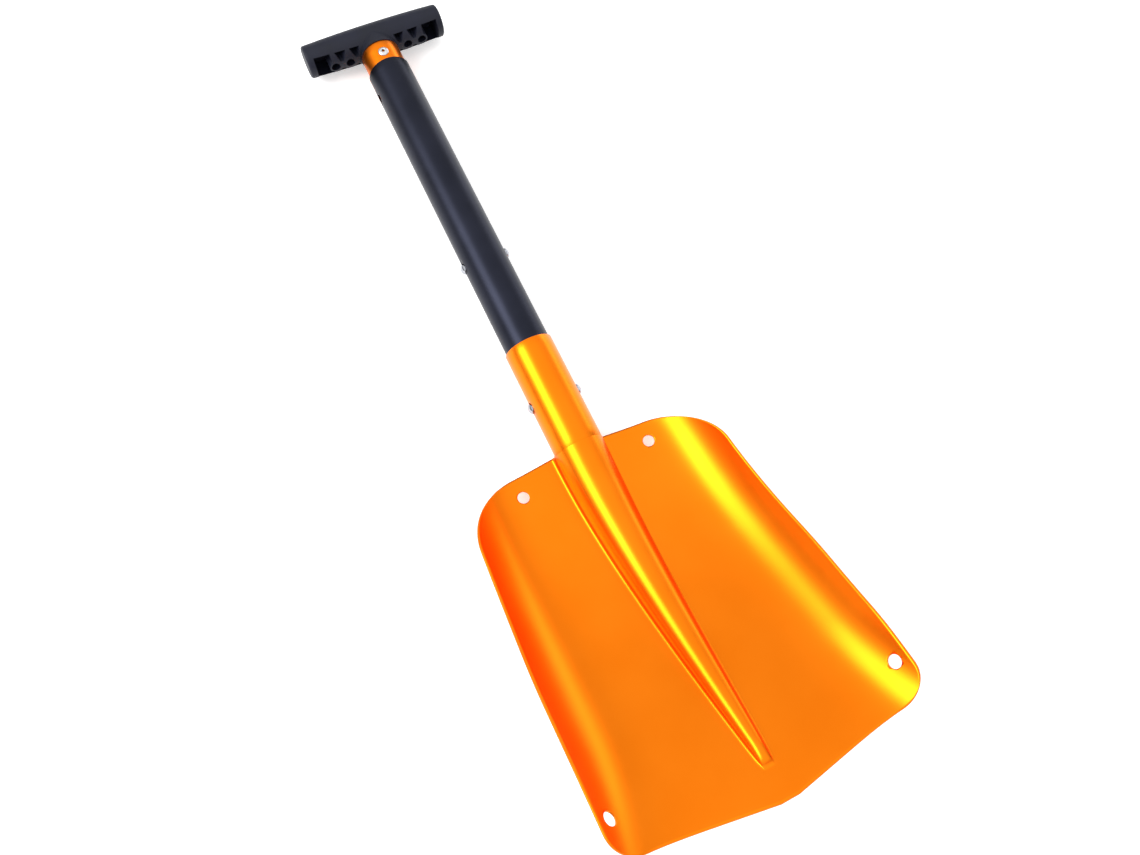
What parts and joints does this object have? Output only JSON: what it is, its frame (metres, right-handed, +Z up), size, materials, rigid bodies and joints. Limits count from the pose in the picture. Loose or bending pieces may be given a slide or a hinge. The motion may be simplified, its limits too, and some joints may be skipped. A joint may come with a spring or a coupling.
{
  "type": "collapsible camp shovel",
  "caption": "Three-section collapsible camp shovel: dished pressed-metal scoop with a rolled socket and tapering rib, telescoping round shaft with snap buttons, and a moulded T-grip.",
  "frame": {"origin": "bottom centre of the bounding box of the packed shovel, which lies on its back with the scoop upwards", "axes": "+Y up the shaft towards the T-grip, +X across the blade, +Z up out of the scoop's hollow side"},
  "size_m": [0.2034, 0.6425, 0.1065],
  "materials": {
    "anodised_orange_blade": "orange anodised, satin",
    "anodised_black_tube": "black anodised, satin",
    "anodised_orange_tube": "orange anodised, satin",
    "grip_plastic": "fine-textured black moulding",
    "rivet_metal": "bright, rolled",
    "spring_steel": "blued spring strip",
    "button_steel": "polished stainless"
  },
  "bodies": {
    "blade_body": {"blade": "anodised_orange_blade"},
    "shaft_body": {"middle_shaft": "anodised_black_tube", "lower_spring": "spring_steel"},
    "handle_body": {"handle_tube": "anodised_orange_tube", "grip": "grip_plastic", "grip_rivet": "rivet_metal", "upper_spring": "spring_steel"},
    "lower_left": {"lower_button_left": "button_steel"},
    "lower_right": {"lower_button_right": "button_steel"},
    "upper_left": {"upper_button_left": "button_steel"},
    "upper_right": {"upper_button_right": "button_steel"}
  },
  "joints": [
    {"name": "shaft_release", "type": "slide", "parent": "blade_body", "child": "shaft_body", "axis": [0, 1, 0], "range_m": [0, 0.075], "deforming": ["lower_spring", "lower_button_left", "lower_button_right"]},
    {"name": "handle_slide", "type": "slide", "parent": "shaft_body", "child": "handle_body", "axis": [0, 1, 0], "range_m": [0, 0.1635], "deforming": ["upper_spring", "upper_button_left", "upper_button_right"]},
    {"name": "lower_button_left_press", "type": "slide", "parent": "shaft_body", "child": "lower_left", "axis": [1, 0, 0], "range_m": [0, 0.0042], "stiffness_N_per_m": 3500, "springref_m": -0.001},
    {"name": "lower_button_right_press", "type": "slide", "parent": "shaft_body", "child": "lower_right", "axis": [-1, 0, 0], "range_m": [0, 0.0042], "stiffness_N_per_m": 3500, "springref_m": -0.001},
    {"name": "upper_button_left_press", "type": "slide", "parent": "handle_body", "child": "upper_left", "axis": [1, 0, 0], "range_m": [0, 0.0042], "stiffness_N_per_m": 3500, "springref_m": -0.001},
    {"name": "upper_button_right_press", "type": "slide", "parent": "handle_body", "child": "upper_right", "axis": [-1, 0, 0], "range_m": [0, 0.0042], "stiffness_N_per_m": 3500, "springref_m": -0.001}
  ]
}
